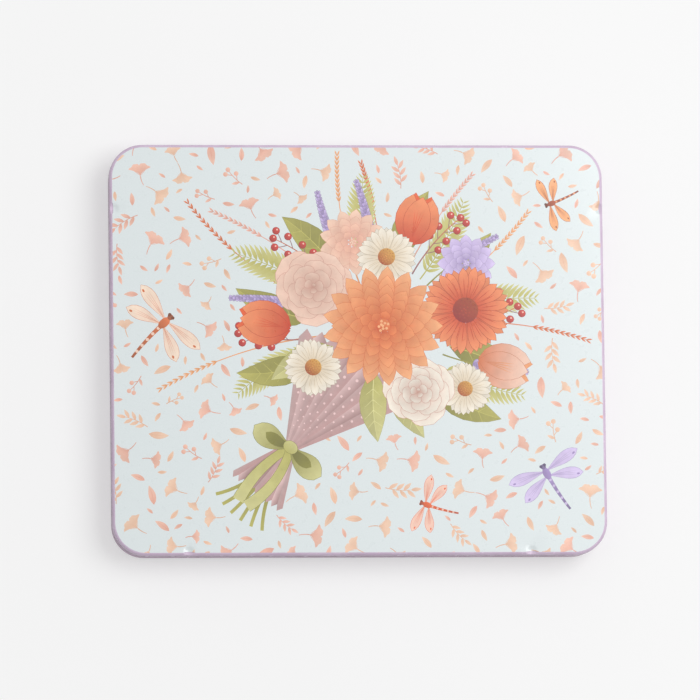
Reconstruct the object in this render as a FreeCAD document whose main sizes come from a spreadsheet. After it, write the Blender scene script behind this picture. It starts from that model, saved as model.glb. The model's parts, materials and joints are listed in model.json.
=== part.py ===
import FreeCAD, Part
import math
import os
import re
import Sketcher

# Pastel pencil tin: a flat hinged tin, with a row of pastel pencils in a fluted tray under a foam pad.
# Millimetres. The origin is the middle of the base's underside, +X runs along the long side,
# +Y to the hinges at the back and +Z up. The pencils set the tray, the tray the base and the base the lid.
SIZES = {
    # Pencils: round, sharpened, lying side by side with their tips to the back
    "pencil_count": 24,
    "pencil_length": 175.0,
    "pencil_diameter": 7.8,
    "pencil_spacing": 0.7,
    "core_diameter": 4.4,
    "core_fit": 0.02,
    "sharpened_length": 20.0,
    "tip_diameter": 0.9,
    "tip_dome": 0.35,
    "end_cap": 0.6,
    "end_chamfer": 0.5,
    # Tray: one sheet of plastic, formed into flutes and a finger well
    "tray_sheet": 0.5,
    "tray_lift": 1.2,
    "tray_edge_radius": 0.9,
    "tray_side_border": 7.15,
    "tray_end_border": 2.1,
    "flute_clearance": 0.3,
    "flute_end_clearance": 1.0,
    "flute_depth": 1.95,
    "well_width": 26.0,
    "well_side_border": 4.5,
    "well_corner_radius": 3.0,
    "well_floor_gap": 0.3,
    "well_to_front": 48.0,
    # Sheet metal of the base, whose wall steps in to a neck that the lid closes over, and of the lid
    "sheet": 0.3,
    "fold_radius": 1.3,
    "fold_over_radius": 0.27,
    "tray_clearance": 0.1,
    "neck_step": 0.45,
    "rim_hem_height": 3.0,
    "lid_gap": 0.35,
    "lid_depth": 5.6,
    "lid_hem_height": 1.6,
    "lid_corner_radius": 15.0,
    # Stop dents pressed into the lid's upper edge, over the base's rim
    "dent_radius": 6.0,
    "dent_depth": 0.7,
    "dent_inset": 2.0,
    "front_dent_to_side": 34.2,
    "side_dent_to_back": 28.9,
    "stop_gap": 0.1,
    # Foam pad glued inside the lid
    "pad_thickness": 4.7,
    "pad_gap": 0.9,
    "pad_margin": 8.8,
    "pad_edge_radius": 0.8,
    # Hinges: curled knuckles on steel pins behind the back wall, tucked under the lid's skirt
    "pin_diameter": 0.9,
    "pin_play": 0.06,
    "pin_seat_play": 0.02,
    "pin_head_diameter": 1.3,
    "pin_head_length": 0.4,
    "hinge_gap": 0.1,
    "hinge_drop": 0.5,
    "hinge_to_side": 49.0,
    "lid_knuckle_length": 10.0,
    "base_knuckle_length": 6.0,
    "knuckle_side_gap": 0.3,
    # Length by which a cutting shape runs past what it cuts
    "overrun": 2.0,
}

# Sizes that follow from the ones above
DERIVED = {
    "pencil_radius": "pencil_diameter / 2",
    "pitch": "pencil_diameter + pencil_spacing",
    "first_pencil": "-(pencil_count - 1) * pitch / 2",
    "blunt_end": "-pencil_length / 2",
    "pencil_tip": "pencil_length / 2",
    "core_radius": "core_diameter / 2",
    "bore_radius": "core_radius + core_fit",
    "tip_radius": "tip_diameter / 2",
    "shoulder": "pencil_tip - sharpened_length",
    "cone_slope": "(pencil_radius - tip_radius) / (sharpened_length - tip_dome)",
    "wood_end": "shoulder + (pencil_radius - bore_radius) / cone_slope",
    "core_shoulder": "shoulder + (pencil_radius - core_radius) / cone_slope",
    "core_start": "blunt_end + end_cap + core_fit",
    "flute_radius": "pencil_radius + flute_clearance",
    "flute_length": "pencil_length + 2 * flute_end_clearance",
    "pencil_height": "sheet + tray_lift + tray_sheet + flute_radius",
    "deck_top": "pencil_height - flute_radius + flute_depth",
    "tray_length": "(pencil_count - 1) * pitch + 2 * flute_radius + 2 * tray_side_border",
    "tray_width": "flute_length + 2 * tray_end_border",
    "tray_corner_radius": "base_corner_radius - fold_radius - tray_clearance",
    "well_length": "tray_length - 2 * well_side_border",
    "well_floor": "sheet + well_floor_gap + tray_sheet",
    "well_middle": "blunt_end + well_to_front",
    "base_length": "tray_length + 2 * tray_clearance + 2 * fold_radius",
    "base_width": "tray_width + 2 * tray_clearance + 2 * fold_radius",
    "base_corner_radius": "lid_corner_radius - 2 * sheet - lid_gap + neck_step",
    "lid_length": "base_length - 2 * neck_step + 2 * lid_gap + 4 * sheet",
    "lid_width": "base_width - 2 * neck_step + 2 * lid_gap + 4 * sheet",
    "pad_bottom": "pencil_height + pencil_radius + pad_gap",
    "lid_ceiling": "pad_bottom + pad_thickness",
    "tin_height": "lid_ceiling + sheet",
    "skirt_bottom": "tin_height - lid_depth",
    "rim_top": "lid_ceiling - dent_depth - stop_gap",
    "dent_height": "tin_height + dent_radius - dent_depth",
    "knuckle_radius": "pin_diameter / 2 + pin_play + sheet",
    "neck_back": "base_width / 2 - neck_step",
    "hinge_back": "neck_back + hinge_gap + knuckle_radius",
    "hinge_height": "skirt_bottom - hinge_drop - knuckle_radius",
    "step_top": "hinge_height - knuckle_radius - hinge_drop",
    "hinge_side": "lid_length / 2 - hinge_to_side",
    "base_knuckle_start": "lid_knuckle_length / 2 + knuckle_side_gap",
    "pin_length": "2 * (base_knuckle_start + base_knuckle_length)",
}

# Two heights nearer than this are one height
SAME_HEIGHT = 1e-6

doc = FreeCAD.newDocument("PencilTin")
sheet = doc.addObject("Spreadsheet::Sheet", "Sizes")
for row, (alias, amount) in enumerate(SIZES.items(), start=1):
    sheet.set(f"A{row}", str(amount))
    sheet.setAlias(f"A{row}", alias)
doc.recompute()


def formula(words):
    """An expression on the sheet's cells, from a formula written in the names of sizes."""
    def cell(match):
        name = match.group(0)
        return f"Sizes.{name}" if name in SIZES else f"({formula(DERIVED[name])})"
    return re.sub(r"[a-z][a-z_]+", cell, words)


def number(words):
    """The value of such a formula, for a first guess at a sketch's points."""
    return float(sheet.evalExpression(formula(words)))


def bind(item, **formulas):
    """Binds an object's sizes and place to the sheet. In a path, two underscores stand for a full stop."""
    for path, words in formulas.items():
        item.setExpression(path.replace("__", "."), formula(words))


def place(item, across="0", along="0", height="0"):
    """Puts an object's own origin at a place in the tin's frame."""
    bind(item, Placement__Base__x=across, Placement__Base__y=along, Placement__Base__z=height)


# Sketches

def new_sketch(body):
    """An empty sketch on the body's own level plane."""
    sketch = body.newObject("Sketcher::SketchObject", f"{body.Name}_sketch")
    level = [plane for plane in body.Origin.OriginFeatures if plane.Role == "XY_Plane"]
    sketch.AttachmentSupport = [(level[0], "")]
    sketch.MapMode = "FlatFace"
    return sketch


def measure(sketch, kind, ends, words):
    """Adds a driving dimension between points and binds it to the sheet."""
    index = sketch.addConstraint(Sketcher.Constraint(kind, *ends, number(words)))
    label = f"dimension_{index}"
    sketch.renameConstraint(index, label)
    sketch.setExpression(f"Constraints.{label}", formula(words))


def add_rounded_outline(sketch, length, width, radius):
    """A rectangle with rounded corners about the sketch's origin: four lines, each with the corner after it."""
    half_length = number(length) / 2
    half_width = number(width) / 2
    bend = number(radius)
    first = sketch.GeometryCount
    for turn in range(4):
        quarter = FreeCAD.Rotation(FreeCAD.Vector(0, 0, 1), 90 * turn)
        reach, breadth = (half_width, half_length) if turn % 2 == 0 else (half_length, half_width)
        start = quarter.multVec(FreeCAD.Vector(bend - breadth, -reach, 0))
        end = quarter.multVec(FreeCAD.Vector(breadth - bend, -reach, 0))
        centre = quarter.multVec(FreeCAD.Vector(breadth - bend, bend - reach, 0))
        circle = Part.Circle(centre, FreeCAD.Vector(0, 0, 1), bend)
        opening = math.radians(90 * (turn - 1))
        sketch.addGeometry(Part.LineSegment(start, end), False)
        sketch.addGeometry(Part.ArcOfCircle(circle, opening, opening + math.radians(90)), False)
    for turn in range(4):
        line = first + 2 * turn
        corner = line + 1
        following = first + 2 * ((turn + 1) % 4)
        sketch.addConstraint(Sketcher.Constraint("Tangent", line, 2, corner, 1))
        sketch.addConstraint(Sketcher.Constraint("Tangent", corner, 2, following, 1))
        sketch.addConstraint(Sketcher.Constraint("Vertical" if turn % 2 else "Horizontal", line))
        if turn:
            sketch.addConstraint(Sketcher.Constraint("Equal", first + 1, corner))
    sketch.addConstraint(Sketcher.Constraint("Symmetric", first + 1, 3, first + 5, 3, -1, 1))
    measure(sketch, "DistanceX", (first + 6, 1, first + 2, 1), length)
    measure(sketch, "DistanceY", (first, 1, first + 4, 1), width)
    measure(sketch, "Radius", (first + 1,), radius)


def add_polygon(sketch, corners):
    """A closed outline of straight lines, each corner dimensioned from the sketch's origin."""
    points = [FreeCAD.Vector(number(across), number(along), 0) for across, along in corners]
    for start, end in zip(points, points[1:] + points[:1]):
        sketch.addGeometry(Part.LineSegment(start, end), False)
    for line, (across, along) in enumerate(corners):
        before = (line - 1) % len(corners)
        sketch.addConstraint(Sketcher.Constraint("Coincident", before, 2, line, 1))
        for kind, axis, words in (("DistanceX", -2, across), ("DistanceY", -1, along)):
            if words == "0":
                sketch.addConstraint(Sketcher.Constraint("PointOnObject", line, 1, axis))
            else:
                measure(sketch, kind, (-1, 1, line, 1), words)


# Solids

def rounded_block(name, outlines, low, high):
    """A level slab between two heights: one outline, or an outer and an inner one for a ring."""
    body = doc.addObject("PartDesign::Body", name)
    sketch = new_sketch(body)
    for length, width, radius in outlines:
        add_rounded_outline(sketch, length, width, radius)
    pad = body.newObject("PartDesign::Pad", f"{name}_pad")
    pad.Profile = sketch
    bind(pad, Length=f"{high} - ({low})")
    place(body, height=low)
    doc.recompute()
    return body


def inset_outline(piece, inset):
    """The outline of the lid or the base, moved inwards."""
    return (f"{piece}_length - 2 * ({inset})", f"{piece}_width - 2 * ({inset})",
            f"{piece}_corner_radius - ({inset})")


def round_rim(body, upper, radius, inner=False):
    """Rounds the outer or inner edge of a slab's upper or lower face."""
    base = body.Tip
    level = base.Shape.BoundBox.ZMax if upper else base.Shape.BoundBox.ZMin
    faces = [face for face in base.Shape.Faces if math.isclose(face.BoundBox.ZLength, 0, abs_tol=SAME_HEIGHT)]
    face = min(faces, key=lambda flat: abs(flat.CenterOfMass.z - level))
    wires = [wire for wire in face.Wires if wire.isSame(face.OuterWire) != inner]
    rim = [edge for wire in wires for edge in wire.Edges]
    chosen = [f"Edge{index}" for index, edge in enumerate(base.Shape.Edges, start=1)
              if any(edge.isSame(other) for other in rim)]
    fillet = body.newObject("PartDesign::Fillet", f"{body.Name}_round")
    fillet.Base = (base, chosen)
    bind(fillet, Radius=radius)
    doc.recompute()


def turned(name, corners, axis):
    """A solid of revolution about one of the sketch's own axes."""
    body = doc.addObject("PartDesign::Body", name)
    sketch = new_sketch(body)
    add_polygon(sketch, corners)
    revolution = body.newObject("PartDesign::Revolution", f"{name}_turn")
    revolution.Profile = sketch
    revolution.ReferenceAxis = (sketch, [axis])
    revolution.Angle = 360
    return body


def box(name, length, width, height):
    """A plain box from its own corner."""
    solid = doc.addObject("Part::Box", name)
    bind(solid, Length=length, Width=width, Height=height)
    return solid


def rod(name, radius, length, axis):
    """A cylinder that runs along X or along Y from its own end."""
    solid = doc.addObject("Part::Cylinder", name)
    direction = FreeCAD.Vector(1, 0, 0) if axis == "X" else FreeCAD.Vector(0, 1, 0)
    solid.Placement.Rotation = FreeCAD.Rotation(FreeCAD.Vector(0, 0, 1), direction)
    bind(solid, Radius=radius, Height=length)
    return solid


def ball(name, radius):
    """A sphere about its own middle."""
    solid = doc.addObject("Part::Sphere", name)
    bind(solid, Radius=radius)
    return solid


def fuse(name, solids):
    """Joins solids into one."""
    whole = doc.addObject("Part::MultiFuse", name)
    whole.Shapes = solids
    whole.Refine = True
    doc.recompute()
    return whole


def cut(name, solid, tool):
    """Takes one solid from another, and makes sure that it took something."""
    rest = doc.addObject("Part::Cut", name)
    rest.Base = solid
    rest.Tool = tool
    rest.Refine = True
    doc.recompute()
    if not 0 < rest.Shape.Volume < solid.Shape.Volume:
        raise RuntimeError(f"{name} cuts nothing")
    return rest


# Hinges

def hinge_sides():
    """The name of each hinge and its middle, across the tin."""
    return (("left", "-(hinge_side)"), ("right", "hinge_side"))


def hinge_pin(side, middle):
    """A steel pin with a peened head at each end."""
    half = "pin_length / 2"
    end = "(pin_length / 2 + pin_head_length)"
    shaft = "pin_diameter / 2"
    head = "pin_head_diameter / 2"
    corners = [(f"-{end}", "0"), (f"-{end}", head), (f"-{half}", head), (f"-{half}", shaft),
               (half, shaft), (half, head), (end, head), (end, "0")]
    pin = turned(f"hinge_pin_{side}", corners, "H_Axis")
    place(pin, middle, "hinge_back", "hinge_height")
    return pin


def lid_knuckle(side, middle):
    """The lid's curled knuckle and the tab that brings it down from the skirt."""
    start = f"{middle} - lid_knuckle_length / 2"
    curl = rod(f"lid_curl_{side}", "knuckle_radius", "lid_knuckle_length", "X")
    place(curl, start, "hinge_back", "hinge_height")
    tab = box(f"lid_tab_{side}", "lid_knuckle_length", "sheet",
              "skirt_bottom + lid_hem_height - hinge_height")
    place(tab, start, "lid_width / 2 - sheet", "hinge_height")
    return [curl, tab]


def base_knuckles(side, middle):
    """The base's two knuckles, one each side of the lid's, and the straps that carry them."""
    solids = []
    for end, start in (("inner", f"{middle} - base_knuckle_start - base_knuckle_length"),
                       ("outer", f"{middle} + base_knuckle_start")):
        curl = rod(f"base_curl_{side}_{end}", "knuckle_radius", "base_knuckle_length", "X")
        place(curl, start, "hinge_back", "hinge_height")
        strap = box(f"base_strap_{side}_{end}", "base_knuckle_length",
                    "hinge_back - neck_back + sheet", "sheet")
        place(strap, start, "neck_back - sheet", "hinge_height - knuckle_radius")
        solids += [curl, strap]
    return solids


def pin_bores(piece, play):
    """The bores for both pins, as rods that pass through every knuckle."""
    bores = []
    for side, middle in hinge_sides():
        bore = rod(f"{piece}_bore_{side}", f"pin_diameter / 2 + {play}", "pin_length + 2 * overrun", "X")
        place(bore, f"{middle} - pin_length / 2 - overrun", "hinge_back", "hinge_height")
        bores.append(bore)
    return fuse(f"{piece}_bores", bores)


# Base and lid

def base_tin():
    """An open tray of sheet metal: a body, a neck whose rim is folded flat to the inside, and knuckles behind."""
    body = rounded_block("base_body", [inset_outline("base", "0")], "0", "step_top")
    round_rim(body, False, "fold_radius")
    round_rim(body, True, "fold_over_radius")
    neck = rounded_block("base_neck", [inset_outline("base", "neck_step")], "fold_radius", "rim_top")
    round_rim(neck, True, "fold_over_radius")
    room = rounded_block("base_room", [inset_outline("base", "sheet")], "sheet", "step_top - sheet")
    round_rim(room, False, "fold_radius - sheet")
    mouth = rounded_block("base_mouth", [inset_outline("base", "neck_step + sheet")], "fold_radius",
                          "rim_top + overrun")
    shell = cut("base_shell", fuse("base_outside", [body, neck]), fuse("base_inside", [room, mouth]))
    hem = rounded_block("base_hem", [inset_outline("base", "neck_step + sheet"),
                                     inset_outline("base", "neck_step + 2 * sheet")],
                        "rim_top - rim_hem_height", "rim_top")
    round_rim(hem, True, "fold_over_radius", inner=True)
    knuckles = [solid for side, middle in hinge_sides() for solid in base_knuckles(side, middle)]
    return cut("base_tin", fuse("base_joined", [shell, hem] + knuckles), pin_bores("base", "pin_seat_play"))


def dents(name, radius):
    """Four balls that press the stop dents: two at the front edge, one at each side near the back."""
    front = "dent_inset - lid_width / 2"
    beside = "lid_length / 2 - front_dent_to_side"
    end = "lid_length / 2 - dent_inset"
    back = "lid_width / 2 - side_dent_to_back"
    balls = []
    for index, (across, along) in enumerate(((f"-({beside})", front), (beside, front),
                                             (f"-({end})", back), (end, back))):
        press = ball(f"{name}_{index}", radius)
        place(press, across, along, "dent_height")
        balls.append(press)
    return fuse(name, balls)


def lid_tin():
    """A shallow cap of sheet metal with a flat top, a hemmed skirt, four stop dents and hinge knuckles."""
    outside = rounded_block("lid_outside", [inset_outline("lid", "0")], "skirt_bottom", "tin_height")
    round_rim(outside, True, "fold_radius")
    round_rim(outside, False, "fold_over_radius")
    inside = rounded_block("lid_inside", [inset_outline("lid", "sheet")], "skirt_bottom - overrun",
                           "lid_ceiling")
    round_rim(inside, True, "fold_radius - sheet")
    pressed = cut("lid_pressed", outside, dents("dent", "dent_radius"))
    room = cut("lid_room", inside, dents("dent_back", "dent_radius + sheet"))
    shell = cut("lid_shell", pressed, room)
    hem = rounded_block("lid_hem", [inset_outline("lid", "sheet"), inset_outline("lid", "2 * sheet")],
                        "skirt_bottom", "skirt_bottom + lid_hem_height")
    round_rim(hem, False, "fold_over_radius", inner=True)
    knuckles = [solid for side, middle in hinge_sides() for solid in lid_knuckle(side, middle)]
    return cut("lid_tin", fuse("lid_joined", [shell, hem] + knuckles), pin_bores("lid", "pin_play"))


def lid_foam_pad():
    """A flat foam pad with softened lower edges, glued to the lid's ceiling over the pencils."""
    pad = rounded_block("lid_foam_pad", [inset_outline("lid", "pad_margin")], "pad_bottom", "lid_ceiling")
    round_rim(pad, False, "pad_edge_radius")
    return pad


# Tray and pencils

def pencil_across(index):
    """A pencil's place across the tin."""
    return f"first_pencil + {index} * pitch"


def tray_face(name, inset):
    """The tray's upper side, or with an inset its lower side: a slab less the flutes and the finger well."""
    outline = (f"tray_length - 2 * ({inset})", f"tray_width - 2 * ({inset})", f"tray_corner_radius - ({inset})")
    low = f"sheet - overrun * ({inset}) / tray_sheet"
    slab = rounded_block(f"{name}_slab", [outline], low, f"deck_top - ({inset})")
    round_rim(slab, True, f"tray_edge_radius - ({inset})")
    hollows = []
    for index in range(int(number("pencil_count"))):
        flute = rod(f"{name}_flute_{index + 1:02d}", f"flute_radius + {inset}",
                    f"flute_length + 2 * ({inset})", "Y")
        place(flute, pencil_across(index), f"-flute_length / 2 - ({inset})", "pencil_height")
        hollows.append(flute)
    well = rounded_block(f"{name}_well", [(f"well_length + 2 * ({inset})", f"well_width + 2 * ({inset})",
                                           f"well_corner_radius + ({inset})")],
                         f"well_floor - ({inset})", "deck_top + overrun")
    place(well, along="well_middle", height=f"well_floor - ({inset})")
    return cut(name, slab, fuse(f"{name}_hollows", hollows + [well]))


def pencil_tray():
    """One formed sheet: its upper side less its lower side, the sheet's thickness apart."""
    return cut("pencil_tray", tray_face("tray_upper", "0"), tray_face("tray_lower", "tray_sheet"))


def pencil_barrel(name, across):
    """A round wooden barrel, bored for the core, with a lacquered blunt end and a sharpened cone."""
    corners = [("0", "blunt_end"), ("pencil_radius - end_chamfer", "blunt_end"),
               ("pencil_radius", "blunt_end + end_chamfer"), ("pencil_radius", "shoulder"),
               ("bore_radius", "wood_end"), ("bore_radius", "blunt_end + end_cap"),
               ("0", "blunt_end + end_cap")]
    barrel = turned(f"{name}_barrel", corners, "V_Axis")
    place(barrel, across, "0", "pencil_height")
    return barrel


def pencil_core(name, across):
    """A pastel core through the barrel, sharpened with it to a blunt tip."""
    corners = [("0", "core_start"), ("core_radius", "core_start"), ("core_radius", "core_shoulder"),
               ("tip_radius", "pencil_tip - tip_dome"), ("tip_radius - tip_dome", "pencil_tip"),
               ("0", "pencil_tip")]
    core = turned(f"{name}_core", corners, "V_Axis")
    place(core, across, "0", "pencil_height")
    return core


pieces = [base_tin(), lid_tin(), lid_foam_pad(), pencil_tray()]
for side, middle in hinge_sides():
    pieces.append(hinge_pin(side, middle))
for index in range(int(number("pencil_count"))):
    name = f"pencil_{index + 1:02d}"
    pieces.append(pencil_barrel(name, pencil_across(index)))
    pieces.append(pencil_core(name, pencil_across(index)))
doc.recompute()

for item in doc.Objects:
    if "Invalid" in item.State or "Error" in item.State:
        raise RuntimeError(f"{item.Name} failed: {item.State}")
for piece in pieces:
    piece.Label = piece.Name
    if piece.Shape.isNull() or not piece.Shape.isValid() or len(piece.Shape.Solids) != 1:
        raise RuntimeError(f"{piece.Label} isn't one valid solid")

os.makedirs("parts", exist_ok=True)
for piece in pieces:
    piece.Shape.exportStep(f"parts/{piece.Label}.step")
lid_bounds = doc.getObject("lid_tin").Shape.optimalBoundingBox()
over_all = f"{lid_bounds.XLength:.2f} x {lid_bounds.YLength:.2f} x {lid_bounds.ZMax:.2f}"
print(f"{len(pieces)} pieces, {over_all} over all")
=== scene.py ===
"""The looks of a pastel pencil tin: finishes for its pieces, its lid's printed skin and the foam pad inside.

The tin's sizes are in millimetres until a mesh or a shader is made of them. The studio's are in metres.
"""

import json
import math
import random

import bpy
import numpy as np
from mathutils import Matrix, Vector
from mathutils.geometry import delaunay_2d_cdt
from mathutils.kdtree import KDTree


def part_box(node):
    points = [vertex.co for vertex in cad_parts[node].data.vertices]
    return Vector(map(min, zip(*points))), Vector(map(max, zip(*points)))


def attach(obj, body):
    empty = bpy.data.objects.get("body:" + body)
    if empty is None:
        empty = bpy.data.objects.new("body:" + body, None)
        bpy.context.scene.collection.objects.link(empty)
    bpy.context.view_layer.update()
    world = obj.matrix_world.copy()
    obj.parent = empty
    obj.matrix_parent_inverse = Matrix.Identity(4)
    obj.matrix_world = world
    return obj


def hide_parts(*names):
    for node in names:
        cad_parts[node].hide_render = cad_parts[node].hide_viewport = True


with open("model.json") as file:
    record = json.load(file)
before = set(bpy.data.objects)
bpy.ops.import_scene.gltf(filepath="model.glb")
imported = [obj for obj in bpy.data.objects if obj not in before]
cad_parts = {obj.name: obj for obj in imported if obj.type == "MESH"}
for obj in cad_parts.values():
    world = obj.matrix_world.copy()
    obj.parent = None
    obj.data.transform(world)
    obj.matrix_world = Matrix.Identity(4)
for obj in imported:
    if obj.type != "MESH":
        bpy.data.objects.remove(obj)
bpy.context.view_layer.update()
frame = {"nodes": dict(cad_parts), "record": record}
nodes = frame["nodes"]

MM = 0.001


def box_mm(node):
    """The lowest and highest corner of a CAD node, in millimetres."""
    low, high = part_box(node)
    return np.array(low) / MM, np.array(high) / MM


# Sizes of the tin, from the frame where its boxes give them
LID_LOW, LID_HIGH = box_mm("lid_tin")
PAD_LOW, PAD_HIGH = box_mm("lid_foam_pad")
PENCIL_LOWS = [box_mm(name)[0] for name in sorted(nodes) if name.endswith("_barrel")]
LID_HALF = np.array([LID_HIGH[0], -LID_LOW[1]])
PAD_HALF = np.array([PAD_HIGH[0], PAD_HIGH[1]])
LID_TOP = LID_HIGH[2]
LID_CORNER = 15.0
PAD_CORNER = 6.2
FOLD_RADIUS = 1.3
SKIRT_BOTTOM = 10.4
PENCIL_COUNT = len(PENCIL_LOWS)
PENCIL_PITCH = PENCIL_LOWS[1][0] - PENCIL_LOWS[0][0]
PENCIL_END = PENCIL_LOWS[0][1]
PENCIL_SHOULDER = 67.5
PENCIL_DIP = 11.0
PENCIL_RING = 1.6

# A face of the lid or the base is inside if it looks towards its piece's middle height. Sideways places
# count little in this, so that the slopes of the dents stay outside
LID_MIDDLE = 12.5
BASE_MIDDLE = 5.0
SIDEWAYS = 0.02

# Painted shade on the lid's skirt, for the shadow under its hem: darkest up to the first height above its
# hem, and none from the second
HEM_DARK = 1.04
HEM_SHADE = 2.6

# Stop dents pressed into the lid's upper edge
DENT_RADIUS = 6.0
DENT_DEPTH = 0.7
DENT_INSET = 2.0
FRONT_DENT_FROM_SIDE = 34.2
SIDE_DENT_FROM_BACK = 28.9
DENT_CENTRE_Z = LID_TOP - DENT_DEPTH + DENT_RADIUS
DENTS = [
    (np.array([side * reach_x, reach_y]), np.array(outward))
    for side in (-1, 1)
    for reach_x, reach_y, outward in (
        (LID_HALF[0] - FRONT_DENT_FROM_SIDE, DENT_INSET - LID_HALF[1], (0, -1)),
        (LID_HALF[0] - DENT_INSET, LID_HALF[1] - SIDE_DENT_FROM_BACK, (side, 0)),
    )
]

# Colours, as the sRGB numbers of a paint chart
WHITE = (255, 255, 255)
ICE = (226, 234, 235)
LID_LAVENDERS = ((205, 183, 206), (213, 194, 215))
# The base's lavenders are a little pinker and darker than the lid's: painted shade, for the base's strip in
# shade below the lid's hem
SHADED_BASE_LAVENDERS = ((207, 178, 203), (214, 188, 212))
# Deep mauve painted shade along the lid's hem
PAINTED_HEM_SHADE = (112, 78, 104)
PEACH = (247, 212, 192)
BLUSH = (241, 192, 174)
SALMON = (230, 170, 152)
RUST = (216, 118, 72)
DEEP_RUST = (170, 78, 44)
AMBER = (243, 166, 114)
FLAME = (241, 106, 58)
DEEP_FLAME = (206, 64, 32)
LIGHT_FLAME = (251, 156, 106)
CREAM = (251, 243, 228)
SHADED_CREAM = (228, 208, 178)
HONEY = (224, 172, 86)
OLIVE = (190, 184, 100)
DEEP_OLIVE = (146, 142, 68)
PALE_OLIVE = (214, 210, 146)
MAUVE = (192, 150, 148)
DEEP_MAUVE = (154, 110, 114)
PALE_MAUVE = (218, 186, 184)
LILAC = (204, 188, 224)
DEEP_LILAC = (166, 144, 198)
BERRY = (198, 68, 62)
DEEP_BERRY = (152, 42, 42)


def linear(colour):
    """The linear red, green and blue of an sRGB colour."""
    share = np.array(colour, float) / 255
    return np.where(share <= 0.04045, share / 12.92, ((share + 0.055) / 1.055) ** 2.4)


def shade(colour, amount):
    """A colour made darker, below 1, or lighter, above 1."""
    return tuple(np.clip(np.array(colour) * amount, 0, 255))


def blend(first, second, share):
    """A colour on the way from one to another."""
    return tuple((1 - share) * np.array(first) + share * np.array(second))


# Finishes


class Nodes:
    """The node tree of a material or a world, and short calls that add to it."""

    def __init__(self, owner):
        owner.use_nodes = True
        self.tree = owner.node_tree

    def node(self, kind, *inputs, **options):
        """Adds a node, sets its options and feeds its first inputs."""
        made = self.tree.nodes.new(kind)
        for option, value in options.items():
            setattr(made, option, value)
        for socket, value in zip(made.inputs, inputs):
            self.feed(socket, value)
        return made

    def feed(self, socket, value):
        """Links an output to a socket, or sets its value, a colour as sRGB; None leaves it alone."""
        if isinstance(value, bpy.types.NodeSocket):
            self.tree.links.new(value, socket)
        elif value is not None:
            socket.default_value = (*linear(value), 1.0) if socket.type == "RGBA" else value

    def math(self, operation, first, second=None):
        """One step of arithmetic."""
        return self.node("ShaderNodeMath", first, second, operation=operation).outputs[0]

    def vector(self, operation, first, second=None, result="Vector"):
        """One step of arithmetic on vectors, with a vector or a Value as its result."""
        return self.node("ShaderNodeVectorMath", first, second, operation=operation).outputs[result]

    def shown(self, share, first, second):
        """Sends two shaders to the output, mixed by a share from 0 to 1."""
        both = self.node("ShaderNodeMixShader", share, first, second).outputs[0]
        self.feed(self.tree.get_output_node("ALL").inputs["Surface"], both)


class Finish(Nodes):
    """A material with one Principled shader, and short calls for the nodes that feed it."""

    MIX_INPUTS = (0, 6, 7)
    MIX_RESULT = 2

    def __init__(self, name, **settings):
        self.material = bpy.data.materials.new(name)
        super().__init__(self.material)
        self.shader = self.tree.nodes["Principled BSDF"]
        texture = self.node("ShaderNodeTexCoord").outputs
        self.place = texture["Object"]
        self.facing = texture["Normal"]
        self.set(**settings)

    def set(self, **values):
        """Feeds the shader's sockets, named with _ for a space, and returns the material."""
        for socket, value in values.items():
            self.feed(self.shader.inputs[socket.replace("_", " ")], value)
        return self.material

    def part(self, vector, axis):
        """The X, Y or Z of a vector."""
        return self.node("ShaderNodeSeparateXYZ", vector).outputs[axis]

    def scaled(self, x, y, z):
        """The place on the piece, stretched along each axis."""
        return self.vector("MULTIPLY", self.place, (x, y, z))

    def noise(self, scale, detail=3.0, place=None):
        """Soft noise about 0.5; scale is in waves per metre."""
        return self.node("ShaderNodeTexNoise", place or self.place, None, scale, detail).outputs["Fac"]

    def cells(self, scale):
        """The distance to the nearest cell's centre, from 0 to about 1; scale is in cells per metre."""
        return self.node("ShaderNodeTexVoronoi", self.place, None, scale).outputs["Distance"]

    def span(self, value, low, high, bottom=0.0, top=1.0):
        """A value from low to high, mapped to bottom to top and held there."""
        return self.node("ShaderNodeMapRange", value, low, high, bottom, top).outputs[0]

    def mix(self, share, first, second, blend="MIX"):
        """Two colours mixed by a share from 0 to 1."""
        made = self.node("ShaderNodeMix", data_type="RGBA", blend_type=blend)
        for index, value in zip(self.MIX_INPUTS, (share, first, second)):
            self.feed(made.inputs[index], value)
        return made.outputs[self.MIX_RESULT]

    def grey(self, tone):
        """A grey of that linear tone."""
        return self.node("ShaderNodeCombineColor", tone, tone, tone).outputs[0]

    def bump(self, height, depth, below=None):
        """A normal pushed out by height times depth, in metres, over another bump."""
        made = self.node("ShaderNodeBump")
        made.inputs["Distance"].default_value = depth
        self.feed(made.inputs["Height"], height)
        self.feed(made.inputs["Normal"], below)
        return made.outputs["Normal"]


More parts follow.
